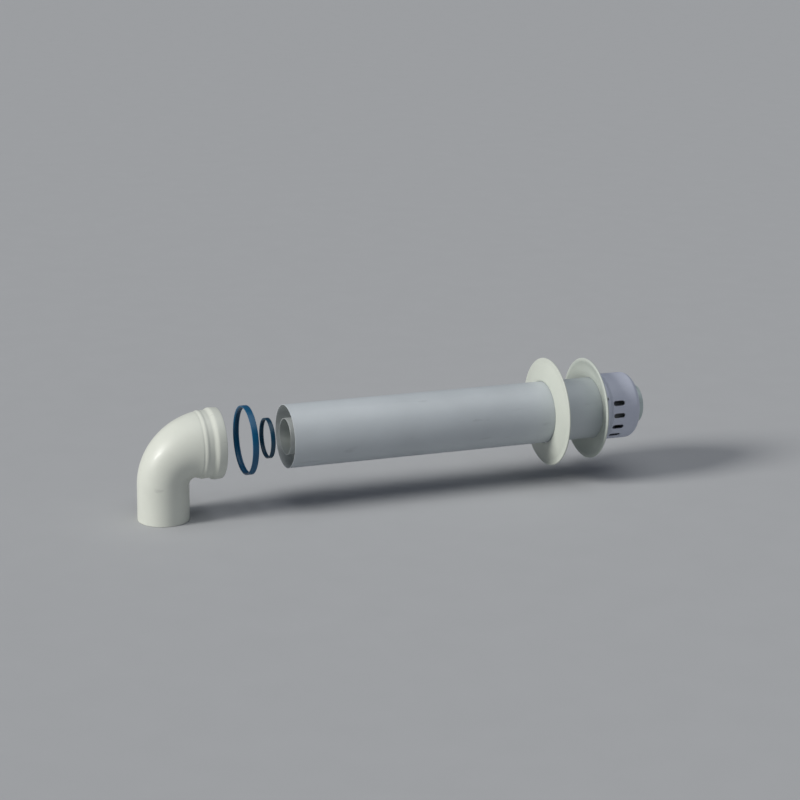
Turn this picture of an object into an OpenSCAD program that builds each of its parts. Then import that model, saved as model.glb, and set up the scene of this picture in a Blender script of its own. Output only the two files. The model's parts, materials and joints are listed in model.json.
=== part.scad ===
// Horizontal concentric flue kit for a room-sealed boiler, laid out pulled apart along its axis:
// a 90 degree elbow, two push-in seals, an air duct with the flue pipe inside it, an indoor and
// an outdoor wall plate, and a slotted outdoor terminal.
// The origin is the centre of the elbow's open lower end. The duct runs along +X, and +Z is up.

/* [Elbow] */
// Height of the duct's axis above the elbow's lower end
axis_h = 114; // [110:1:120]
// Outer radius of the leg that plugs onto the boiler
leg_r = 40; // [38:0.5:42]
// Length of the leg's straight part
leg_len = 56; // [50:1:60]
// Distance from the leg's axis to the bend's centre
leg_to_pivot = 51; // [48:1:52]
// Outer radius of the bend where it meets the collar
bend_r = 51; // [50.8:0.1:52]
// Wall of the elbow's casing
elbow_wall = 1.6; // [1.2:0.1:2]
// Where the collar's mouth is, along X
collar_end = 87.5; // [86:0.5:92]
// Radius of the bore in the collar that guides the duct
collar_bore_r = 50.4; // [50.3:0.1:50.6]
// Radius of the recess in the collar that holds the large seal
collar_seat_r = 54.3; // [54.2:0.1:54.6]

/* [Flue] */
// Outer radius of the flue pipe
flue_r = 30; // [29.5:0.1:30]
// Wall of the flue pipe
flue_wall = 1.2; // [1:0.1:1.5]
// Radius of the flue pipe's drawn-down end
neck_r = 28.7; // [28.5:0.1:28.8]
// Centreline radius of the flue bend inside the elbow
flue_bend_r = 50; // [48:1:52]
// Radius of the socket that takes the boiler's own flue spigot
boiler_socket_r = 30.4; // [30.2:0.1:30.6]

/* [Duct] */
// Outer radius of the air duct
duct_r = 50; // [49.5:0.1:50]
// Wall of the air duct
duct_wall = 1; // [0.8:0.1:1.2]
// Where the duct begins, along X, while the kit is pulled apart
duct_start = 196; // [190:1:210]
// Where the duct ends, inside the terminal
duct_end = 737; // [735:1:740]

/* [Seals] */
// Where the large seal's front face is
large_seal_x = 127.5; // [110:0.5:140]
// Length of the large seal
large_seal_len = 9.5; // [8:0.5:11]
// Where the small seal's front face is
small_seal_x = 163.5; // [155:0.5:180]
// Length of the small seal
small_seal_len = 7; // [5:0.5:7.5]

/* [Wall plates] */
// Where the indoor plate's rim is, along X
indoor_plate_x = 645; // [600:1:660]
// Radius of the indoor plate's rim
indoor_plate_r = 88; // [84:0.5:92]
// Where the outdoor plate's rim is, along X
outdoor_plate_x = 715.5; // [700:0.5:716]
// Radius of the outdoor plate's rim
outdoor_plate_r = 82.5; // [80:0.5:88]
// How far a plate's hub stands off its rim
plate_depth = 8; // [6:0.5:10]

/* [Terminal] */
// Outer radius of the terminal's sleeve
sleeve_r = 54; // [53.5:0.1:55]
// Radius of the sleeve's rounded end
shoulder_r = 12; // [8:1:14]
// Outer radius of the flue outlet
outlet_r = 31; // [30.8:0.1:32]
// Where the flue outlet ends
outlet_end = 806; // [800:1:812]
// Number of air slots, spaced out from the lowest one
slot_count = 11; // [3:2:13]
// Angle from one air slot to the next
slot_pitch = 22; // [20:1:24]
// Width of an air slot
slot_w = 8; // [6:0.5:10]
// Length of an air slot
slot_len = 20; // [16:1:24]

/* [Hidden] */
$fn = 96;

cream = [0.90, 0.90, 0.85];
white = [0.86, 0.88, 0.89];
stone = [0.80, 0.81, 0.76];
blue = [0.00, 0.30, 0.46];
dark_blue = [0.02, 0.16, 0.26];
grey = [0.62, 0.64, 0.65];

sunk_fit = 0.05;                 // clearance of the pressed joints
loose = 0.3;                     // clearance all round the parts that slide or turn
seal_play = 0.35;                // clearance between a seal's heel and its recess

// The elbow's casing
bend_c = axis_h - leg_len;       // centreline distance from the pivot at the collar end
bend_rings = 24;
bend_sides = 60;
stop_x = 60;                     // the step that the duct stops short of
groove_x = 67;                   // the end of the groove in front of the seal's housing
crown_x = 76;                    // where the seal's housing is widest
seat_x = 74;                     // the back wall of the large seal's recess
collar_wall = 1.3;
groove_wall = 2;
crown_drop = 0.6;                // how far the housing falls again towards the mouth
bead_x = 57;
bead_half = 4.5;
bead_h = 1;
end_chamfer = 0.6;               // on the leg's open end and the collar's mouth

// The flue inside the elbow
flue_in_r = flue_r - flue_wall;
flue_pivot_z = axis_h - flue_bend_r;
socket_low_z = 8;
socket_top_z = 38;
seal_low_z = 14;
seal_top_z = 22;
seal_depth = 2.8;
flue_socket_x = 58;
flue_seat_x = 72;
flue_socket_end = 80;
flue_seat_r = 31.95;
guide_r = neck_r + 0.4;          // the bore that guides the flue pipe's neck
socket_taper = 4;
swage = 3;                       // length of a step pressed into the flue pipe

// The duct, the flue pipe and their spacers
duct_in_r = duct_r - duct_wall;
neck_len = 30;
flue_end = 788;
neck_taper = 4;
spacer_arm_w = 5;
spacer_band = 1.4;
spacer_len = 10;
short_spacer_len = 6;

// The terminal
sleeve_x = 727;
sleeve_wall = 1.4;
seat_r = duct_r + sunk_fit;
cone_len = 3;
nose_len = 14;                   // how far the flue outlet stands out of the rounded end
outlet_root = 0.6;               // extra radius of the outlet where it sits in the rounded end
shoulder_x = outlet_end - nose_len - shoulder_r;
slot_x = duct_end + cone_len + 1;
screw_x = 732;
screw_r = 1.2;
screw_len = 8;
screw_head_r = 2.8;
screw_head_h = 1.4;
screw_angles = [60, 180, 300];

// A point list along an arc about a centre, from one angle to another
function arc(centre, radius, from, to, steps) =
    [for (i = [0:steps]) let (a = from + (to - from) * i / steps)
        centre + radius * [cos(a), sin(a)]];

// Children drawn along local Z are laid along the duct's axis, starting at x
module on_duct_axis(x) {
    translate([x, 0, axis_h]) rotate([0, 90, 0]) children();
}

// A ring turned from an outline of [radius, position] points
module turned(outline) {
    rotate_extrude() polygon(outline);
}

// A plain tube along Z
module tube(outer, inner, length) {
    difference() {
        cylinder(r = outer, h = length);
        translate([0, 0, -1]) cylinder(r = inner, h = length + 2);
    }
}

// A clip band with three legs that centres a pipe in a larger one. The legs' ends are flat and
// reach the larger pipe at their corners, and one leg points along local X.
module spacer(inner, outer, length) {
    half_w = spacer_arm_w / 2;
    reach = sqrt(pow(outer, 2) - pow(half_w, 2)) - sunk_fit;
    root = inner + spacer_band / 2;
    rotate([0, 0, 60]) tube(inner + spacer_band, inner, length);
    for (i = [0:2])
        rotate([0, 0, 120 * i])
            translate([root, -half_w, 0]) cube([reach - root, spacer_arm_w, length]);
}

// A ring seal with a square heel and two soft lips that face inwards
module lip_seal(outer, inner, length) {
    thick = outer - inner;
    turned([[inner + thick * 0.45, 0],
            [outer - 0.4, 0],
            [outer, 0.6],
            [outer, length - 0.6],
            [outer - 0.4, length],
            [inner + thick * 0.55, length],
            [inner, length * 0.86],
            [inner, length * 0.72],
            [inner + thick * 0.4, length * 0.56],
            [inner + thick * 0.4, length * 0.46],
            [inner, length * 0.34],
            [inner, length * 0.16]]);
}

// ---- Elbow ----

// A point on the bend: t runs 0 to 1 round the bend, a is the angle round the section.
// The casing swells towards the collar, slowly at first.
function bend_point(t, a, inset) =
    let (r = leg_r + (bend_r - leg_r) * pow(t, 2) - inset,
         reach = leg_to_pivot + (bend_c - leg_to_pivot) * pow(t, 2) + r * cos(a))
    [leg_to_pivot - reach * cos(90 * t), r * sin(a), leg_len + reach * sin(90 * t)];

function bend_skin(inset) =
    [for (i = [0:bend_rings], j = [0:bend_sides - 1])
        bend_point(i / bend_rings, 360 * j / bend_sides, inset)];

module elbow_bend() {
    skin = (bend_rings + 1) * bend_sides;
    last = bend_rings * bend_sides;
    function next(j) = (j + 1) % bend_sides;
    color(cream)
        polyhedron(
            points = concat(bend_skin(0), bend_skin(elbow_wall)),
            faces = concat(
                [for (i = [0:bend_rings - 1], j = [0:bend_sides - 1]) let (p = i * bend_sides)
                    [p + j, p + next(j), p + bend_sides + next(j), p + bend_sides + j]],
                [for (i = [0:bend_rings - 1], j = [0:bend_sides - 1])
                    let (p = skin + i * bend_sides)
                    [p + j, p + bend_sides + j, p + bend_sides + next(j), p + next(j)]],
                [for (j = [0:bend_sides - 1]) [j, skin + j, skin + next(j), next(j)]],
                [for (j = [0:bend_sides - 1])
                    [last + j, last + next(j), skin + last + next(j), skin + last + j]]));
}

module boiler_spigot() {
    color(cream)
        turned([[leg_r - elbow_wall, 0],
                [leg_r - end_chamfer, 0],
                [leg_r, end_chamfer],
                [leg_r, leg_len],
                [leg_r - elbow_wall, leg_len]]);
}

module elbow_collar() {
    crown_r = collar_seat_r + collar_wall;
    groove_r = collar_bore_r + groove_wall;
    mouth_x = collar_end - end_chamfer;
    color(cream)
        on_duct_axis(0)
            turned(concat(
                [[bend_r - elbow_wall, leg_to_pivot],
                 [bend_r, leg_to_pivot]],
                [for (i = [0:8]) let (u = i / 4 - 1)
                    [bend_r + (groove_r - bend_r) * i / 8 + bead_h * (1 - u * u) * (1 - u * u / 2),
                     bead_x + bead_half * u]],
                [for (i = [0:7]) let (u = i / 7)
                    [groove_r + (crown_r - groove_r) * (1 - cos(180 * u)) / 2,
                     groove_x + (crown_x - groove_x) * u]],
                [for (i = [1:4]) let (u = i / 4)
                    [crown_r - crown_drop * u * u, crown_x + (mouth_x - crown_x) * u]],
                [[crown_r - crown_drop - end_chamfer / 2, collar_end],
                 [collar_seat_r, collar_end],
                 [collar_seat_r, seat_x],
                 [collar_bore_r, seat_x],
                 [collar_bore_r, stop_x],
                 [bend_r - elbow_wall, stop_x]]));
}

module flue_bend() {
    color(grey) {
        translate([flue_bend_r, 0, flue_pivot_z])
            rotate([90, 0, 0]) rotate([0, 0, 90])
                rotate_extrude(angle = 90)
                    translate([flue_bend_r, 0]) difference() {
                        circle(r = flue_r);
                        circle(r = flue_in_r);
                    }
        translate([0, 0, socket_top_z]) tube(flue_r, flue_in_r, flue_pivot_z - socket_top_z);
        on_duct_axis(flue_bend_r) tube(flue_r, flue_in_r, flue_socket_x - flue_bend_r);
    }
}

module boiler_flue_socket() {
    outer = boiler_socket_r + flue_wall;
    color(grey)
        turned([[boiler_socket_r, socket_low_z],
                [outer, socket_low_z],
                [outer, seal_low_z - 1.4],
                [outer + seal_depth, seal_low_z - 0.6],
                [outer + seal_depth, seal_top_z + 0.6],
                [outer, seal_top_z + 1.4],
                [outer, socket_top_z - socket_taper],
                [flue_r, socket_top_z],
                [flue_in_r, socket_top_z],
                [boiler_socket_r, socket_top_z - socket_taper],
                [boiler_socket_r, seal_top_z],
                [boiler_socket_r + seal_depth, seal_top_z],
                [boiler_socket_r + seal_depth, seal_low_z],
                [boiler_socket_r, seal_low_z]]);
}

module duct_flue_socket() {
    guide_end = flue_seat_x - swage;
    color(grey)
        on_duct_axis(0)
            turned([[flue_in_r, flue_socket_x],
                    [flue_r, flue_socket_x],
                    [guide_r + flue_wall, flue_socket_x + swage],
                    [guide_r + flue_wall, guide_end],
                    [flue_seat_r + flue_wall, flue_seat_x - 1],
                    [flue_seat_r + flue_wall, flue_socket_end],
                    [flue_seat_r, flue_socket_end],
                    [flue_seat_r, flue_seat_x],
                    [guide_r, flue_seat_x],
                    [guide_r, flue_socket_x + swage]]);
}

module boiler_flue_seal() {
    color(dark_blue)
        translate([0, 0, seal_low_z])
            lip_seal(boiler_socket_r + seal_depth, boiler_socket_r + 0.1, seal_top_z - seal_low_z);
}

module leg_spacer() {
    color(grey)
        translate([0, 0, seal_top_z + 4])
            rotate([0, 0, 180])
                spacer(boiler_socket_r + flue_wall, leg_r - elbow_wall, short_spacer_len);
}

module collar_spacer() {
    color(grey)
        on_duct_axis(flue_bend_r + 1) spacer(flue_r, bend_r - elbow_wall, short_spacer_len);
}

// ---- Seals ----

module large_seal() {
    color(blue)
        on_duct_axis(large_seal_x)
            lip_seal(collar_seat_r - seal_play, duct_r + loose, large_seal_len);
}

module small_seal() {
    color(dark_blue)
        on_duct_axis(small_seal_x)
            lip_seal(flue_seat_r - seal_play, neck_r + loose, small_seal_len);
}

// ---- Duct and flue pipe ----

module swivel_spacer() {
    color(grey)
        on_duct_axis(duct_start + 38) spacer(flue_r + loose, duct_in_r - loose, spacer_len);
}

module air_duct() {
    color(white)
        difference() {
            on_duct_axis(duct_start) tube(duct_r, duct_in_r, duct_end - duct_start);
            screw_shanks(screw_r + sunk_fit);
        }
}

module flue_pipe() {
    neck_end = duct_start + neck_len;
    color(grey)
        on_duct_axis(0)
            turned([[neck_r - flue_wall, duct_start],
                    [neck_r, duct_start],
                    [neck_r, neck_end],
                    [flue_r, neck_end + neck_taper],
                    [flue_r, flue_end],
                    [flue_in_r, flue_end],
                    [flue_in_r, neck_end + neck_taper],
                    [neck_r - flue_wall, neck_end]]);
}

module middle_spacer() {
    color(grey)
        on_duct_axis((duct_start + duct_end) / 2) spacer(flue_r, duct_in_r, spacer_len);
}

module outer_spacer() {
    color(grey) on_duct_axis(duct_end - 44) spacer(flue_r, duct_in_r, spacer_len);
}

// ---- Terminal ----

// A round-ended slot that runs outwards from the duct's axis, with its length along X
module slot_cut() {
    end_r = slot_w / 2;
    linear_extrude(sleeve_r + 5)
        polygon(concat(arc([slot_len - end_r, 0], end_r, -90, 90, 8),
                       arc([end_r, 0], end_r, 90, 270, 8)));
}

// The screws' shanks, used to cut their holes too
module screw_shanks(radius) {
    for (a = screw_angles)
        translate([screw_x, 0, axis_h]) rotate([a, 0, 0])
            translate([0, 0, duct_in_r - screw_len / 2])
                cylinder(r = radius, h = screw_len, $fn = 24);
}

module terminal_sleeve() {
    color(white)
        difference() {
            on_duct_axis(0)
                turned([[seat_r, sleeve_x],
                        [seat_r + sleeve_wall, sleeve_x],
                        [seat_r + sleeve_wall, duct_end],
                        [sleeve_r, duct_end + cone_len],
                        [sleeve_r, shoulder_x],
                        [sleeve_r - sleeve_wall, shoulder_x],
                        [sleeve_r - sleeve_wall, duct_end + cone_len + 0.5],
                        [seat_r, duct_end + 0.5]]);
            for (i = [0:slot_count - 1])
                translate([slot_x, 0, axis_h])
                    rotate([180 + slot_pitch * (i - (slot_count - 1) / 2), 0, 0]) slot_cut();
            screw_shanks(screw_r + sunk_fit);
        }
}

module terminal_end() {
    inner_r = shoulder_r - sleeve_wall;
    centre = [sleeve_r - shoulder_r, shoulder_x];
    hole_r = outlet_r + outlet_root + sunk_fit;
    color(white)
        on_duct_axis(0)
            turned(concat(
                arc(centre, shoulder_r, 0, 90, 10),
                [[hole_r, shoulder_x + shoulder_r],
                 [hole_r, shoulder_x + inner_r]],
                arc(centre, inner_r, 90, 0, 10)));
}

module terminal_outlet() {
    inner_r = flue_r + sunk_fit;
    face_x = shoulder_x + shoulder_r;
    color(grey)
        on_duct_axis(0)
            turned([[inner_r, shoulder_x],
                    [outlet_r + outlet_root, shoulder_x],
                    [outlet_r + outlet_root, face_x],
                    [outlet_r, face_x],
                    [outlet_r, outlet_end - 0.5],
                    [outlet_r - 0.3, outlet_end],
                    [inner_r, outlet_end]]);
}

module terminal_spacer() {
    color(grey)
        on_duct_axis(shoulder_x - short_spacer_len - 1)
            spacer(flue_r, sleeve_r - sleeve_wall, short_spacer_len);
}

module terminal_screws() {
    color(grey) {
        screw_shanks(screw_r);
        for (a = screw_angles)
            translate([screw_x, 0, axis_h]) rotate([a, 0, 0])
                translate([0, 0, seat_r + sleeve_wall])
                    cylinder(r = screw_head_r, h = screw_head_h, $fn = 32);
    }
}

// ---- Wall plates ----

// A dished plate: the rim lies about z = 0, the hub stands off towards +Z
module wall_plate(rim_r) {
    hub_r = duct_r + 0.5;
    skirt_r = rim_r - 5;
    wall = 2.4;
    rim_half = 1.5;
    steps = 12;
    function rise(r) = let (u = (r - hub_r) / (skirt_r - hub_r))
        plate_depth * (1 - u * u) - rim_half;
    turned(concat(
        [[hub_r, plate_depth]],
        [for (i = [1:steps - 1]) let (r = hub_r + (skirt_r - hub_r) * i / steps)
            [r, rise(r) + wall]],
        arc([rim_r - rim_half, 0], rim_half, 90, -90, 8),
        [for (i = [steps:-1:0]) let (r = hub_r + (skirt_r - hub_r) * i / steps)
            [r, rise(r)]]));
}

module indoor_wall_plate() {
    color(cream)
        translate([indoor_plate_x, 0, axis_h]) rotate([0, -90, 0]) wall_plate(indoor_plate_r);
}

module outdoor_wall_plate() {
    color(stone)
        translate([outdoor_plate_x, 0, axis_h]) rotate([0, 90, 0]) wall_plate(outdoor_plate_r);
}

boiler_spigot();
elbow_bend();
elbow_collar();
flue_bend();
boiler_flue_socket();
duct_flue_socket();
boiler_flue_seal();
leg_spacer();
collar_spacer();
large_seal();
small_seal();
swivel_spacer();
air_duct();
flue_pipe();
middle_spacer();
outer_spacer();
terminal_sleeve();
terminal_end();
terminal_outlet();
terminal_spacer();
terminal_screws();
indoor_wall_plate();
outdoor_wall_plate();
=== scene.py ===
"""Looks of the flue kit: smooth casings, seals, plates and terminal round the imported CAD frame."""

import json
import math

import bmesh
import bpy
from mathutils import Matrix, Vector


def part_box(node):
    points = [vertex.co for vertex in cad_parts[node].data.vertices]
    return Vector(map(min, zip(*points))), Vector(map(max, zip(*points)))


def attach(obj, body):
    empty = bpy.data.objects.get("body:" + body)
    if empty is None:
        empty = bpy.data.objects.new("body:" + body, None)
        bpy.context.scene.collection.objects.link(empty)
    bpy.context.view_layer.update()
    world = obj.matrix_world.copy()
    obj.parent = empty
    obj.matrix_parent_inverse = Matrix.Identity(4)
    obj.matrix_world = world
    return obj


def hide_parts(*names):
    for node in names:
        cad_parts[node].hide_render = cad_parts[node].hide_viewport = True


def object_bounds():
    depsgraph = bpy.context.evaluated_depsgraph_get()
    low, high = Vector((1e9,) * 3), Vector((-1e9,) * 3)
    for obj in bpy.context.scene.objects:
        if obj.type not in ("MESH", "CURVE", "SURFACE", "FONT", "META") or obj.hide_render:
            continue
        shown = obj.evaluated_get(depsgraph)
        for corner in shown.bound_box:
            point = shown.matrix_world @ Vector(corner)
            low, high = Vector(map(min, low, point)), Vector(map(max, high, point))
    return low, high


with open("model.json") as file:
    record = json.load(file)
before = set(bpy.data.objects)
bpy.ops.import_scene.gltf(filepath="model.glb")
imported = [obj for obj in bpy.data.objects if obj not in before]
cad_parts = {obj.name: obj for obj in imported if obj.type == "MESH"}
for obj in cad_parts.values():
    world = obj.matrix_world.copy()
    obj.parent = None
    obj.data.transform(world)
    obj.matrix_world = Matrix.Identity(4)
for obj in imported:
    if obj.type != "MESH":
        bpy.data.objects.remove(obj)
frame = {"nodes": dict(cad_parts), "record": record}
cad_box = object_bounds()

MM = 0.001
AROUND = 192                     # steps round a turned piece
SMOOTH_BELOW = math.radians(32)  # edges sharper than this stay crisp
DUCT_AXIS = 0.5 * (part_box("air_duct")[0].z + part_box("air_duct")[1].z)

ELBOW_WALL = 1.6 * MM
DUCT_WALL = 1.0 * MM
FLUE_WALL = 1.2 * MM
SLEEVE_WALL = 1.4 * MM
SUNK_FIT = 0.05 * MM
LOOSE = 0.3 * MM


def radius_of(node):
    """Outer radius of a CAD node that is round about the duct's axis."""
    lo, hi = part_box(node)
    return max(hi.y, -lo.y, hi.z - DUCT_AXIS, DUCT_AXIS - lo.z)


def leg_radius_of(node):
    """Outer radius of a CAD node that is round about the leg's axis."""
    lo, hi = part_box(node)
    return max(hi.x, -lo.x, hi.y, -lo.y)


DUCT_R = radius_of("air_duct")
FLUE_R = radius_of("flue_pipe")
LEG_R = leg_radius_of("boiler_spigot")
BEND_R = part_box("elbow_bend")[1].y
SOCKET_SWELL = 2.8 * MM          # how far the boiler end's socket swells round its seal


# ---------------------------------------------------------------- mesh tools
def finish_mesh(name, verts, faces, material):
    """Makes an object with outward normals, smooth shading and crisp edges."""
    mesh = bpy.data.meshes.new(name)
    mesh.from_pydata(verts, [], faces)
    mesh.validate()
    bm = bmesh.new()
    bm.from_mesh(mesh)
    bmesh.ops.recalc_face_normals(bm, faces=bm.faces)
    bm.to_mesh(mesh)
    bm.free()
    mesh.shade_smooth()
    mesh.set_sharp_from_angle(angle=SMOOTH_BELOW)
    piece = bpy.data.objects.new(name, mesh)
    bpy.context.scene.collection.objects.link(piece)
    piece.data.materials.append(material)
    return piece


def arc(cx, cy, radius, start, end, steps):
    """Points along an arc, angles in degrees."""
    angles = [math.radians(start + (end - start) * i / steps) for i in range(steps + 1)]
    return [(cx + radius * math.cos(a), cy + radius * math.sin(a)) for a in angles]


def rounded(points, radius, steps=4):
    """Rounds every corner of a closed outline by up to that radius."""
    out = []
    count = len(points)
    for i, point in enumerate(points):
        here = Vector(point)
        back = Vector(points[i - 1]) - here
        ahead = Vector(points[(i + 1) % count]) - here
        turn = back.angle(ahead)
        if abs(turn - math.pi) < math.radians(12):
            out.append(tuple(here))
            continue
        cut = min(radius / math.tan(turn / 2), 0.45 * back.length, 0.45 * ahead.length)
        start = here + back.normalized() * cut
        end = here + ahead.normalized() * cut
        for k in range(steps + 1):
            t = k / steps
            out.append(tuple((1 - t) ** 2 * start + 2 * t * (1 - t) * here + t ** 2 * end))
    return out


def turned(name, outline, material, axis="X", around=AROUND, bore=None):
    """Turns a closed outline of (position, radius) points, in metres, about the duct's axis (X)
    or the leg's axis (Z). bore is the material of the faces that look inwards."""
    verts = []
    for i in range(around):
        a = 2 * math.pi * i / around
        for along, radius in outline:
            if axis == "X":
                verts.append((along, radius * math.cos(a), DUCT_AXIS + radius * math.sin(a)))
            else:
                verts.append((radius * math.cos(a), radius * math.sin(a), along))
    count = len(outline)
    faces = []
    for i in range(around):
        near, far = i * count, (i + 1) % around * count
        for k in range(count):
            after = (k + 1) % count
            faces.append((near + k, near + after, far + after, far + k))
    piece = finish_mesh(name, verts, faces, material)
    if bore:
        piece.data.materials.append(bore)
        for face in piece.data.polygons:
            out = Vector(face.center)
            if axis == "X":
                out = Vector((0, out.y, out.z - DUCT_AXIS))
            else:
                out.z = 0
            if face.normal.dot(out.normalized()) < -0.5:
                face.material_index = 1
    return piece


def swept(name, rings, material, bore=None):
    """A closed tube wall from rings of points: out along the outside, back along the inside."""
    sides = len(rings[0])
    faces = []
    for i in range(len(rings)):
        near, far = i * sides, (i + 1) % len(rings) * sides
        for j in range(sides):
            after = (j + 1) % sides
            faces.append((near + j, near + after, far + after, far + j))
    piece = finish_mesh(name, [v for ring in rings for v in ring], faces, material)
    if bore:
        piece.data.materials.append(bore)
        outside = len(rings) // 2 * sides
        for k, face in enumerate(piece.data.polygons):
            face.material_index = 1 if k >= outside else 0
    return piece


def apply_modifiers(piece):
    """Makes a piece's modifiers part of its mesh."""
    graph = bpy.context.evaluated_depsgraph_get()
    done = bpy.data.meshes.new_from_object(piece.evaluated_get(graph))
    piece.modifiers.clear()
    piece.data = done
    done.shade_smooth()
    done.set_sharp_from_angle(angle=SMOOTH_BELOW)


def soften(piece, width):
    """Bevels a piece's sharp edges."""
    edges = piece.modifiers.new("edges", "BEVEL")
    edges.width = width
    edges.segments = 2
    edges.limit_method = "ANGLE"
    edges.angle_limit = math.radians(50)
    apply_modifiers(piece)


def prism(bm, low, high):
    """Adds a closed prism between two rings of points."""
    rows = [[bm.verts.new(p) for p in ring] for ring in (low, high)]
    bm.faces.new(rows[0][::-1])
    bm.faces.new(rows[1])
    for j in range(len(low)):
        after = (j + 1) % len(low)
        bm.faces.new((rows[0][j], rows[0][after], rows[1][after], rows[1][j]))


def cut_away(piece, bm):
    """Cuts the closed shapes in bm out of the piece."""
    bmesh.ops.recalc_face_normals(bm, faces=bm.faces)
    mesh = bpy.data.meshes.new("cutter")
    bm.to_mesh(mesh)
    bm.free()
    cutter = bpy.data.objects.new("cutter", mesh)
    bpy.context.scene.collection.objects.link(cutter)
    cutting = piece.modifiers.new("cut", "BOOLEAN")
    cutting.object = cutter
    cutting.operation = "DIFFERENCE"
    cutting.solver = "EXACT"
    apply_modifiers(piece)
    bpy.data.objects.remove(cutter)


def stand_for(piece, body, slot, *nodes):
    """The piece rides on a body and takes the place of these CAD nodes."""
    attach(piece, body)
    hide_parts(*nodes)


# ---------------------------------------------------------------- materials
def material(name, colour, roughness, metallic=0.0, mottle=0.04, grain=900.0, bump=0.05,
             rough_range=0.06, stretch=(1.0, 1.0, 1.0), coat=0.0, scuff=0.12):
    """A procedural surface: cloudy colour, faint scuffs, uneven gloss and a fine raised grain."""
    made = bpy.data.materials.new(name)
    made.use_nodes = True
    nodes, links = made.node_tree.nodes, made.node_tree.links
    nodes.clear()
    out = nodes.new("ShaderNodeOutputMaterial")
    shader = nodes.new("ShaderNodeBsdfPrincipled")
    links.new(shader.outputs["BSDF"], out.inputs["Surface"])
    shader.inputs["Metallic"].default_value = metallic
    shader.inputs["Coat Weight"].default_value = coat
    place = nodes.new("ShaderNodeTexCoord")

    def noise(size, detail, shape=stretch):
        scale = nodes.new("ShaderNodeMapping")
        scale.inputs["Scale"].default_value = shape
        links.new(place.outputs["Object"], scale.inputs["Vector"])
        node = nodes.new("ShaderNodeTexNoise")
        node.inputs["Scale"].default_value = size
        node.inputs["Detail"].default_value = detail
        links.new(scale.outputs["Vector"], node.inputs["Vector"])
        return node.outputs["Fac"]

    def ramp(value, low, high, first, last):
        node = nodes.new("ShaderNodeValToRGB")
        node.color_ramp.elements[0].position = low
        node.color_ramp.elements[0].color = (*first, 1)
        node.color_ramp.elements[1].position = high
        node.color_ramp.elements[1].color = (*last, 1)
        links.new(value, node.inputs["Fac"])
        return node.outputs["Color"]

    cloud = ramp(noise(14.0, 4.0), 0.3, 0.7, [c * (1 - mottle) for c in colour],
                 [min(1, c * (1 + mottle)) for c in colour])
    # scuffs: short marks along the duct, only where the noise peaks
    marks = ramp(noise(70.0, 5.0, (0.25, 1.0, 1.0)), 0.66, 0.74, (1, 1, 1), [1 - scuff] * 3)
    # inputs 6 and 7 and output 2 are the mix node's colour sockets
    worn = nodes.new("ShaderNodeMix")
    worn.data_type = "RGBA"
    worn.blend_type = "MULTIPLY"
    worn.inputs[0].default_value = 1.0
    links.new(cloud, worn.inputs[6])
    links.new(marks, worn.inputs[7])
    links.new(worn.outputs[2], shader.inputs["Base Color"])

    gloss = nodes.new("ShaderNodeMapRange")
    gloss.inputs["To Min"].default_value = roughness - rough_range
    gloss.inputs["To Max"].default_value = roughness + rough_range
    links.new(noise(60.0, 3.0), gloss.inputs["Value"])
    links.new(gloss.outputs["Result"], shader.inputs["Roughness"])

    raised = nodes.new("ShaderNodeBump")
    raised.inputs["Strength"].default_value = bump
    raised.inputs["Distance"].default_value = 0.0004
    links.new(noise(grain, 2.0), raised.inputs["Height"])
    links.new(raised.outputs["Normal"], shader.inputs["Normal"])
    return made


CREAM = material("cream_powder_coat", (0.77, 0.795, 0.715), 0.42, coat=0.05)
WHITE = material("white_powder_coat", (0.59, 0.635, 0.66), 0.42, coat=0.05)
# painted light: the duct's matt inside is coloured lighter than its outer coat, standing in for
# light reaching into the mouth
DUCT_INSIDE_PAINTED_LIGHT = material("matt_duct_inside_painted_light", (0.72, 0.75, 0.74), 0.55, mottle=0.08)
PLATE = material("cream_moulded_plastic", (0.635, 0.67, 0.60), 0.5, grain=1400.0)
# painted shade: the outdoor plate is coloured darker and greyer than the indoor plate, standing in
# for the indoor plate's shadow on it
OUTDOOR_PLATE_PAINTED_SHADE = material("outdoor_plate_painted_shade", (0.59, 0.635, 0.58), 0.5, grain=1400.0)
TERMINAL = material("terminal_plastic", (0.635, 0.67, 0.78), 0.5, grain=1200.0)
ALUMINIUM = material("drawn_aluminium", (0.66, 0.69, 0.68), 0.42, metallic=0.35, grain=500.0,
                     stretch=(0.04, 1.0, 1.0), bump=0.12, mottle=0.08)
# painted light: the flue bores are dull inside, and their colour is lightened to stand in for light
# reaching into the pipes
FLUE_BORE_PAINTED_LIGHT = material("dull_flue_bore_painted_light", (0.60, 0.64, 0.61), 0.7, mottle=0.1)
OUTLET = material("weathered_outlet", (0.60, 0.69, 0.67), 0.5, metallic=0.2, grain=700.0)
BLUE = material("blue_silicone", (0.0, 0.09, 0.20), 0.34, mottle=0.1, grain=1500.0)
DARK_BLUE = material("dark_blue_silicone", (0.0, 0.052, 0.105), 0.34, mottle=0.1, grain=1500.0)
BLACK = material("black_rubber", (0.012, 0.012, 0.013), 0.5, grain=1500.0)
GREY = material("grey_spacer_plastic", (0.10, 0.105, 0.11), 0.5)
STEEL = material("screw_steel", (0.55, 0.55, 0.55), 0.3, metallic=1.0)

for slot_name, finish in {
    "casing": CREAM, "duct": WHITE, "flue": ALUMINIUM, "spacer": GREY,
    "large_seal": BLUE, "small_seal": DARK_BLUE, "boiler_seal": BLACK,
    "terminal": TERMINAL, "outlet": OUTLET, "screw": STEEL,
    "indoor_plate": PLATE, "outdoor_plate": OUTDOOR_PLATE_PAINTED_SHADE,
}.items():
    for part in frame["record"]["subparts"]:
        if part["material_slot"] == slot_name:
            cad = frame["nodes"][part["node"]]
            cad.data.materials.clear()
            cad.data.materials.append(finish)


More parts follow.
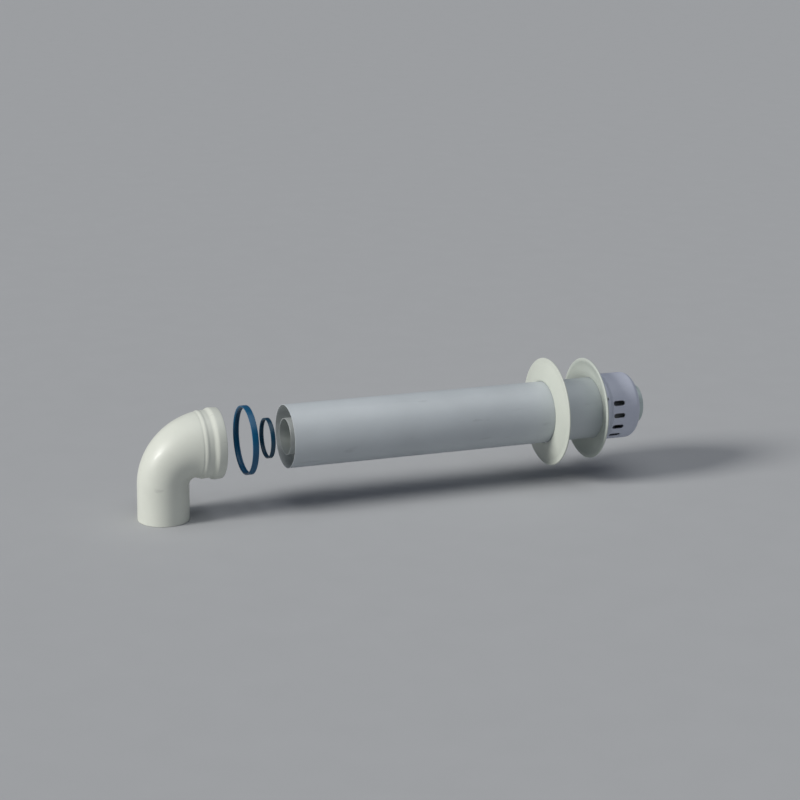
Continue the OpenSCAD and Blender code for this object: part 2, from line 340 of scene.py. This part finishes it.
# ---------------------------------------------------------------- elbow
def elbow_casing():
    """The leg and the bend as one smooth shell, from the leg's end to the collar."""
    leg_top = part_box("boiler_spigot")[1].z
    pivot_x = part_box("elbow_bend")[1].x
    reach_collar = DUCT_AXIS - leg_top
    rings, sides, chamfer = 64, 128, 0.6 * MM

    def ring(t, inset):
        """A ring of the bend: t is 0 at the leg and 1 at the collar."""
        turn = math.pi / 2 * t
        reach = pivot_x + (reach_collar - pivot_x) * t * t
        radius = LEG_R + (BEND_R - LEG_R) * t * t - inset
        out = []
        for j in range(sides):
            a = 2 * math.pi * j / sides
            far = reach + radius * math.cos(a)
            out.append((pivot_x - far * math.cos(turn), radius * math.sin(a),
                        leg_top + far * math.sin(turn)))
        return out

    def level(z, radius):
        """A ring of the straight leg."""
        return [(-radius * math.cos(2 * math.pi * j / sides),
                 radius * math.sin(2 * math.pi * j / sides), z) for j in range(sides)]

    outside = [level(chamfer * (1 - drop) ** 2, LEG_R - chamfer * drop)
               for drop in (1.0, 0.5, 0.0)]
    outside += [level(leg_top * k / 6, LEG_R) for k in range(1, 6)]
    outside += [ring(i / rings, 0.0) for i in range(rings + 1)]
    inside = [ring(i / rings, ELBOW_WALL) for i in range(rings, -1, -1)]
    inside += [level(leg_top * k / 6, LEG_R - ELBOW_WALL) for k in range(5, -1, -1)]
    return swept("elbow_casing", outside + inside, CREAM)


def elbow_collar():
    """The ridged collar: a low bead, a groove and the swollen housing of the large seal."""
    lo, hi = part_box("elbow_collar")
    start, end = lo.x, hi.x
    crown_r = radius_of("elbow_collar")
    seat_r, bore_r = crown_r - 1.3 * MM, crown_r - 5.2 * MM
    groove_r = bore_r + 2 * MM
    bead_at, bead_half, bead_h = start + 6 * MM, 4.5 * MM, 1 * MM
    groove_at, crown_at, mouth = start + 16 * MM, start + 25 * MM, end - 0.8 * MM
    drop = 0.6 * MM
    outer = [(start, BEND_R)]
    steps = 16
    for i in range(steps + 1):
        u = 2 * i / steps - 1
        base = BEND_R + (groove_r - BEND_R) * i / steps
        outer.append((bead_at + bead_half * u, base + bead_h * (1 - u * u) ** 2))
    for i in range(steps + 1):
        t = i / steps
        outer.append((groove_at + (crown_at - groove_at) * t,
                      groove_r + (crown_r - groove_r) * (1 - math.cos(math.pi * t)) / 2))
    for i in range(1, 9):
        t = i / 8
        outer.append((crown_at + (mouth - crown_at) * t, crown_r - drop * t * t))
    outer += [(end - 0.25 * MM, crown_r - drop - 0.15 * MM),
              (end, crown_r - drop - 0.35 * MM)]
    seat_back, stop = start + 23 * MM, start + 9 * MM
    inner = [(end, seat_r + 0.1 * MM), (end - 0.1 * MM, seat_r), (seat_back, seat_r),
             (seat_back, bore_r), (stop, bore_r), (stop, BEND_R - ELBOW_WALL),
             (start, BEND_R - ELBOW_WALL)]
    return turned("elbow_collar_shell", outer + inner, CREAM)


stand_for(elbow_casing(), "elbow", "casing", "boiler_spigot", "elbow_bend")
stand_for(elbow_collar(), "elbow", "casing", "elbow_collar")


# ---------------------------------------------------------------- flue inside the elbow
def flue_bend():
    """The pipe that carries the flue gas round the corner."""
    lo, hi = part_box("flue_bend")
    straight = 26 * MM
    turn_r = DUCT_AXIS - (lo.z + straight)
    pivot = Vector((turn_r, 0, DUCT_AXIS - turn_r))
    sides, steps = 96, 40
    # each station: a point on the centreline, and the direction away from the pivot
    stations = [(Vector((0, 0, lo.z)), Vector((-1, 0, 0)))]
    for i in range(steps + 1):
        a = math.pi / 2 * i / steps
        away = Vector((-math.cos(a), 0, math.sin(a)))
        stations.append((pivot + turn_r * away, away))
    stations.append((Vector((hi.x, 0, DUCT_AXIS)), Vector((0, 0, 1))))

    def ring(station, r):
        centre, away = station
        return [tuple(centre + r * (math.cos(b) * away + math.sin(b) * Vector((0, 1, 0))))
                for b in (2 * math.pi * j / sides for j in range(sides))]

    outside = [ring(s, FLUE_R) for s in stations]
    inside = [ring(s, FLUE_R - FLUE_WALL) for s in reversed(stations)]
    return swept("flue_bend_tube", outside + inside, ALUMINIUM, bore=FLUE_BORE_PAINTED_LIGHT)


def boiler_flue_socket():
    """The socket at the elbow's lower end, with a swelling that holds its seal."""
    lo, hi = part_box("boiler_flue_socket")
    swell = leg_radius_of("boiler_flue_socket")
    outer = swell - SOCKET_SWELL
    inner, seat = outer - FLUE_WALL, swell - FLUE_WALL
    seal_low, seal_top = (c.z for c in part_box("boiler_flue_seal"))
    taper = hi.z - 4 * MM
    outline = [(lo.z, inner), (lo.z, outer), (seal_low - 1.4 * MM, outer),
               (seal_low - 0.6 * MM, swell), (seal_top + 0.6 * MM, swell),
               (seal_top + 1.4 * MM, outer), (taper, outer), (hi.z, FLUE_R),
               (hi.z, FLUE_R - FLUE_WALL), (taper, inner), (seal_top, inner), (seal_top, seat),
               (seal_low, seat), (seal_low, inner)]
    return turned("boiler_flue_socket_tube", rounded(outline, 0.4 * MM, 3), ALUMINIUM,
                  axis="Z", around=128, bore=FLUE_BORE_PAINTED_LIGHT)


def duct_flue_socket():
    """The socket that takes the flue pipe's narrow end and the small seal."""
    lo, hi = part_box("duct_flue_socket")
    seat_r = radius_of("duct_flue_socket") - FLUE_WALL
    guide_r = FLUE_R - 0.9 * MM
    seat_at = hi.x - 8 * MM
    swage = 3 * MM
    outline = [(lo.x, FLUE_R - FLUE_WALL), (lo.x, FLUE_R), (lo.x + swage, guide_r + FLUE_WALL),
               (seat_at - swage, guide_r + FLUE_WALL), (seat_at - 1 * MM, seat_r + FLUE_WALL),
               (hi.x, seat_r + FLUE_WALL), (hi.x, seat_r), (seat_at, seat_r),
               (seat_at, guide_r), (lo.x + swage, guide_r)]
    return turned("duct_flue_socket_tube", rounded(outline, 0.4 * MM, 3), ALUMINIUM,
                  around=128, bore=FLUE_BORE_PAINTED_LIGHT)


stand_for(flue_bend(), "elbow", "flue", "flue_bend")
stand_for(boiler_flue_socket(), "elbow", "flue", "boiler_flue_socket")
stand_for(duct_flue_socket(), "elbow", "flue", "duct_flue_socket")


# ---------------------------------------------------------------- seals
def lip_seal(node, thick, material, axis="X"):
    """A ring seal: a square heel outside and two soft lips that face inwards."""
    lo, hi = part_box(node)
    start, length = (lo.x, hi.x - lo.x) if axis == "X" else (lo.z, hi.z - lo.z)
    inner = (radius_of(node) if axis == "X" else leg_radius_of(node)) - thick
    shape = [(0.0, 0.45), (0.0, 1.0), (1.0, 1.0), (1.0, 0.55), (0.86, 0.0), (0.72, 0.0),
             (0.56, 0.4), (0.46, 0.4), (0.34, 0.0), (0.16, 0.0)]
    outline = rounded([(start + length * along, inner + thick * out) for along, out in shape],
                      0.5 * MM)
    return turned(node + "_ring", outline, material, axis=axis)


stand_for(lip_seal("large_seal", 3.65 * MM, BLUE), "large_seal", "large_seal", "large_seal")
stand_for(lip_seal("small_seal", 2.6 * MM, DARK_BLUE), "small_seal", "small_seal",
          "small_seal")
stand_for(lip_seal("boiler_flue_seal", 2.7 * MM, BLACK, axis="Z"), "elbow", "boiler_seal",
          "boiler_flue_seal")


# ---------------------------------------------------------------- duct and flue pipe
def pipe(name, outline, material, bore=None):
    """A turned pipe along the duct's axis, with its edges just broken."""
    return turned(name, rounded(outline, 0.35 * MM, 3), material, bore=bore)


def air_duct():
    """The outer pipe: coated white, glossier outside than inside, its inside coloured lighter as
    painted light.
    """
    lo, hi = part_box("air_duct")
    return pipe("air_duct_tube", [(lo.x, DUCT_R - DUCT_WALL), (lo.x, DUCT_R), (hi.x, DUCT_R),
                                  (hi.x, DUCT_R - DUCT_WALL)], WHITE, bore=DUCT_INSIDE_PAINTED_LIGHT)


def flue_pipe():
    """The inner pipe, drawn down at the end that enters the small seal."""
    lo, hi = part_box("flue_pipe")
    neck = FLUE_R - 1.3 * MM
    neck_end = lo.x + 30 * MM
    full = neck_end + 4 * MM
    return pipe("flue_pipe_tube",
                [(lo.x, neck - FLUE_WALL), (lo.x, neck), (neck_end, neck), (full, FLUE_R),
                 (hi.x, FLUE_R), (hi.x, FLUE_R - FLUE_WALL), (full, FLUE_R - FLUE_WALL),
                 (neck_end, neck - FLUE_WALL)], ALUMINIUM, bore=FLUE_BORE_PAINTED_LIGHT)


stand_for(air_duct(), "duct", "duct", "air_duct")
stand_for(flue_pipe(), "duct", "flue", "flue_pipe")


# ---------------------------------------------------------------- spacers
def spacer(node, inner, outer, axis="X"):
    """A moulded clip: a band round the pipe with three legs, filleted at their roots."""
    lo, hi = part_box(node)
    band = inner + 1.4 * MM
    half_w, fillet, foot = 2.5 * MM, 1.5 * MM, 0.8 * MM
    reach = math.sqrt(outer ** 2 - half_w ** 2) - SUNK_FIT
    root_x = math.sqrt((band + fillet) ** 2 - (half_w + fillet) ** 2)
    root_turn = math.degrees(math.atan2(half_w + fillet, root_x))
    side = arc(root_x, half_w + fillet, fillet, -90, root_turn - 180, 5)
    leg = [(x, -y) for x, y in reversed(side)]
    leg += arc(reach - foot, -half_w + foot, foot, -90, 0, 4)
    leg += arc(reach - foot, half_w - foot, foot, 0, 90, 4) + side
    across = []
    for k in range(3):
        spin = math.radians(120 * k)
        across += [(x * math.cos(spin) - y * math.sin(spin),
                    x * math.sin(spin) + y * math.cos(spin)) for x, y in leg]
        across += arc(0, 0, band, 120 * k + root_turn, 120 * (k + 1) - root_turn, 24)[1:-1]

    def place(u, v, along):
        """The first leg points down in the duct and towards -X in the leg."""
        if axis == "X":
            return (along, v, DUCT_AXIS - u)
        return (-u, -v, along)

    start, end = (lo.x, hi.x) if axis == "X" else (lo.z, hi.z)
    rim = [(inner * u / math.hypot(u, v), inner * v / math.hypot(u, v)) for u, v in across]
    rings = [[place(u, v, at) for u, v in ring]
             for ring, at in ((across, start), (across, end), (rim, end), (rim, start))]
    piece = swept(node + "_clip", rings, GREY)
    soften(piece, 0.3 * MM)
    return piece


DUCT_IN_R = DUCT_R - DUCT_WALL
SLEEVE_IN_R = radius_of("terminal_sleeve") - SLEEVE_WALL
SOCKET_R = leg_radius_of("boiler_flue_socket") - SOCKET_SWELL

stand_for(spacer("leg_spacer", SOCKET_R, LEG_R - ELBOW_WALL, axis="Z"), "elbow", "spacer",
          "leg_spacer")
stand_for(spacer("collar_spacer", FLUE_R, BEND_R - ELBOW_WALL), "elbow", "spacer",
          "collar_spacer")
stand_for(spacer("swivel_spacer", FLUE_R + LOOSE, DUCT_IN_R - LOOSE), "swivel_spacer",
          "spacer", "swivel_spacer")
for clip in ("middle_spacer", "outer_spacer"):
    stand_for(spacer(clip, FLUE_R, DUCT_IN_R), "duct", "spacer", clip)
stand_for(spacer("terminal_spacer", FLUE_R, SLEEVE_IN_R), "duct", "spacer", "terminal_spacer")


# ---------------------------------------------------------------- wall plates
def wall_plate(node, material, flip):
    """A dished plate. flip is 1 where the hub stands off towards +X and -1 towards -X."""
    lo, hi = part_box(node)
    rim_r = hi.y
    rim_half = 1.5 * MM
    depth = 8 * MM
    rim_at = lo.x + rim_half if flip > 0 else hi.x - rim_half
    hub_r = DUCT_R + 0.5 * MM
    skirt_r = rim_r - 5 * MM
    wall, steps = 2.4 * MM, 28

    def rise(radius):
        u = (radius - hub_r) / (skirt_r - hub_r)
        return depth * (1 - u * u) - rim_half

    radii = [hub_r + (skirt_r - hub_r) * i / steps for i in range(steps + 1)]
    hub_edge = 0.2 * MM
    outline = [(depth, hub_r + hub_edge)] + [(rise(r) + wall, r) for r in radii[2:-2]]
    outline += arc(0, rim_r - rim_half, rim_half, 0, 180, 14)
    outline += [(rise(r), r) for r in reversed(radii)]
    outline += [(depth - hub_edge, hub_r)]
    return turned(node + "_disc", [(rim_at + flip * x, r) for x, r in outline], material)


stand_for(wall_plate("indoor_wall_plate", PLATE, -1), "indoor_wall_plate", "indoor_plate",
          "indoor_wall_plate")
stand_for(wall_plate("outdoor_wall_plate", OUTDOOR_PLATE_PAINTED_SHADE, 1), "outdoor_wall_plate", "outdoor_plate",
          "outdoor_wall_plate")


# ---------------------------------------------------------------- terminal
def terminal_sleeve():
    """The sleeve, with its air slots cut through the lower part of its wall."""
    lo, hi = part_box("terminal_sleeve")
    radius = radius_of("terminal_sleeve")
    seat = DUCT_R + SUNK_FIT
    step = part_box("air_duct")[1].x
    full = step + 3 * MM
    outline = rounded([(lo.x, seat), (lo.x, seat + SLEEVE_WALL), (step, seat + SLEEVE_WALL),
                       (full, radius), (hi.x, radius), (hi.x, radius - SLEEVE_WALL),
                       (full + 0.5 * MM, radius - SLEEVE_WALL), (step + 0.5 * MM, seat)],
                      0.3 * MM, 3)
    sleeve = turned("terminal_slotted_sleeve", outline, TERMINAL, around=240)
    length, half = 20 * MM, 4 * MM
    start = full + 1 * MM
    plan = arc(length - half, 0, half, -90, 90, 12) + arc(half, 0, half, 90, 270, 12)
    cutters = bmesh.new()
    for k in range(-5, 6):
        turn = Matrix.Rotation(math.radians(180 + 22 * k), 3, "X")
        rows = [[Vector((start + x, 0, DUCT_AXIS)) + turn @ Vector((0, y, height))
                 for x, y in plan] for height in (40 * MM, 60 * MM)]
        prism(cutters, *rows)
    cut_away(sleeve, cutters)
    soften(sleeve, 0.35 * MM)
    return sleeve


def terminal_end():
    """The rounded end between the sleeve and the flue outlet."""
    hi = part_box("terminal_end")[1]
    radius, round_r = radius_of("terminal_end"), 12 * MM
    hole = radius_of("terminal_outlet") + SUNK_FIT
    centre_x, centre_r = hi.x - round_r, radius - round_r
    outline = arc(centre_x, centre_r, round_r, 90, 0, 18)
    outline += [(hi.x, hole), (hi.x - SLEEVE_WALL, hole)]
    outline += arc(centre_x, centre_r, round_r - SLEEVE_WALL, 0, 90, 18)
    return turned("terminal_rounded_end", outline, TERMINAL)


def terminal_outlet():
    """The nose of the flue outlet, a little wider where it sits in the rounded end."""
    lo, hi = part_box("terminal_outlet")
    root = radius_of("terminal_outlet")
    nose = root - 0.6 * MM
    inner = FLUE_R + SUNK_FIT
    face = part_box("terminal_end")[1].x
    return pipe("flue_outlet_nose", [(lo.x, inner), (lo.x, root), (face, root), (face, nose),
                                     (hi.x, nose), (hi.x, inner)], OUTLET, bore=FLUE_BORE_PAINTED_LIGHT)


def terminal_screws():
    """Three slotted screws with ridged shanks, pointing at the duct's axis."""
    lo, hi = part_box("terminal_screws")
    at_x = 0.5 * (lo.x + hi.x)
    head_r = 0.5 * (hi.x - lo.x)
    seat = DUCT_R + SUNK_FIT + SLEEVE_WALL
    shank_r, head_h, around = 1.2 * MM, 1.4 * MM, 32
    low = DUCT_IN_R - 4 * MM
    profile = [(0.2 * MM, low)]
    ridges = 8
    for i in range(ridges):
        near = low + (seat - low) * (i + 0.3) / ridges
        profile += [(shank_r - 0.25 * MM, near), (shank_r, near + 0.3 * MM)]
    profile += [(shank_r, seat), (head_r, seat), (head_r, seat + 0.3 * head_h),
                (0.85 * head_r, seat + 0.75 * head_h), (0.5 * head_r, seat + 0.95 * head_h),
                (0.02 * MM, seat + head_h)]
    verts, faces = [], []
    spins = (60, 180, 300)       # degrees from straight up
    for spin in spins:
        turn = Matrix.Rotation(math.radians(spin), 3, "X")
        first = len(verts)
        for radius, height in profile:
            for j in range(around):
                a = 2 * math.pi * j / around
                verts.append(Vector((at_x, 0, DUCT_AXIS)) + turn @ Vector(
                    (radius * math.cos(a), radius * math.sin(a), height)))
        for i in range(len(profile) - 1):
            near, far = first + i * around, first + (i + 1) * around
            for j in range(around):
                after = (j + 1) % around
                faces.append((near + j, near + after, far + after, far + j))
        faces.append(tuple(first + j for j in range(around)))
        faces.append(tuple(far + j for j in range(around)))
    screws = finish_mesh("terminal_slotted_screws", verts, faces, STEEL)
    cutters = bmesh.new()
    slot_x, slot_y = 3.2 * MM, 0.35 * MM
    slot_floor, slot_top = seat + 0.7 * MM, seat + 3 * MM
    corners = [(-slot_x, -slot_y), (slot_x, -slot_y), (slot_x, slot_y), (-slot_x, slot_y)]
    for spin in spins:
        turn = Matrix.Rotation(math.radians(spin), 3, "X")
        rows = [[Vector((at_x, 0, DUCT_AXIS)) + turn @ Vector((x, y, height))
                 for x, y in corners] for height in (slot_floor, slot_top)]
        prism(cutters, *rows)
    cut_away(screws, cutters)
    return screws


stand_for(terminal_sleeve(), "duct", "terminal", "terminal_sleeve")
stand_for(terminal_end(), "duct", "terminal", "terminal_end")
stand_for(terminal_outlet(), "duct", "outlet", "terminal_outlet")
stand_for(terminal_screws(), "duct", "screw", "terminal_screws")


# ---------------------------------------------------------------- camera, light and floor
def look_from(aim, distance, azimuth, elevation, roll, lens):
    """A camera at that angle round the aim point; azimuth 0 looks along +Y."""
    a, e = math.radians(azimuth), math.radians(elevation)
    ahead = Vector((math.sin(a) * math.cos(e), math.cos(a) * math.cos(e), -math.sin(e)))
    level = Vector((math.cos(a), -math.sin(a), 0))
    right = Matrix.Rotation(-math.radians(roll), 3, ahead) @ level
    up = right.cross(ahead)
    data = bpy.data.cameras.new("camera")
    data.lens = lens
    data.sensor_width = 36.0
    camera = bpy.data.objects.new("camera", data)
    bpy.context.scene.collection.objects.link(camera)
    turn = Matrix((right, up, -ahead)).transposed().to_4x4()
    camera.matrix_world = Matrix.Translation(aim - ahead * distance) @ turn
    bpy.context.scene.camera = camera


kit_lo, kit_hi = cad_box
kit_centre = (kit_lo + kit_hi) / 2
look_from(kit_centre + Vector((4, 0, 55)) * MM, distance=3.226, azimuth=21.56,
          elevation=15.86, roll=1.0, lens=91.7)


def sun_light(name, direction, softness, strength, colour):
    """A distant light, as wide as softness in degrees."""
    data = bpy.data.lights.new(name, "SUN")
    data.angle = math.radians(softness)
    data.energy = strength
    data.color = colour
    lamp = bpy.data.objects.new(name, data)
    bpy.context.scene.collection.objects.link(lamp)
    lamp.rotation_mode = "QUATERNION"
    lamp.rotation_quaternion = Vector(direction).normalized().to_track_quat("Z", "Y")


sun_light("key", (-1.0, -0.1, 0.52), 18, 2.3, (1.0, 0.985, 0.955))
sun_light("overhead", (0.1, -0.15, 1.0), 60, 0.85, (0.97, 0.99, 1.0))


def floor():
    """A plain pale floor just under the elbow's lower end."""
    mesh = bpy.data.meshes.new("floor")
    half = 14.0
    mesh.from_pydata([(-half, -half, 0), (half, -half, 0), (half, half, 0), (-half, half, 0)],
                     [], [(0, 1, 2, 3)])
    plane = bpy.data.objects.new("floor", mesh)
    bpy.context.scene.collection.objects.link(plane)
    plane.location = (kit_centre.x, kit_centre.y, kit_lo.z - 0.2 * MM)
    plane.data.materials.append(
        material("pale_floor", (0.49, 0.50, 0.51), 0.9, mottle=0.01, bump=0.0, scuff=0.0))


floor()
world = bpy.data.worlds.new("studio")
world.use_nodes = True
world.node_tree.nodes["Background"].inputs["Color"].default_value = (0.74, 0.80, 1.0, 1)
world.node_tree.nodes["Background"].inputs["Strength"].default_value = 0.11
bpy.context.scene.world = world
bpy.context.scene.view_settings.view_transform = "Standard"
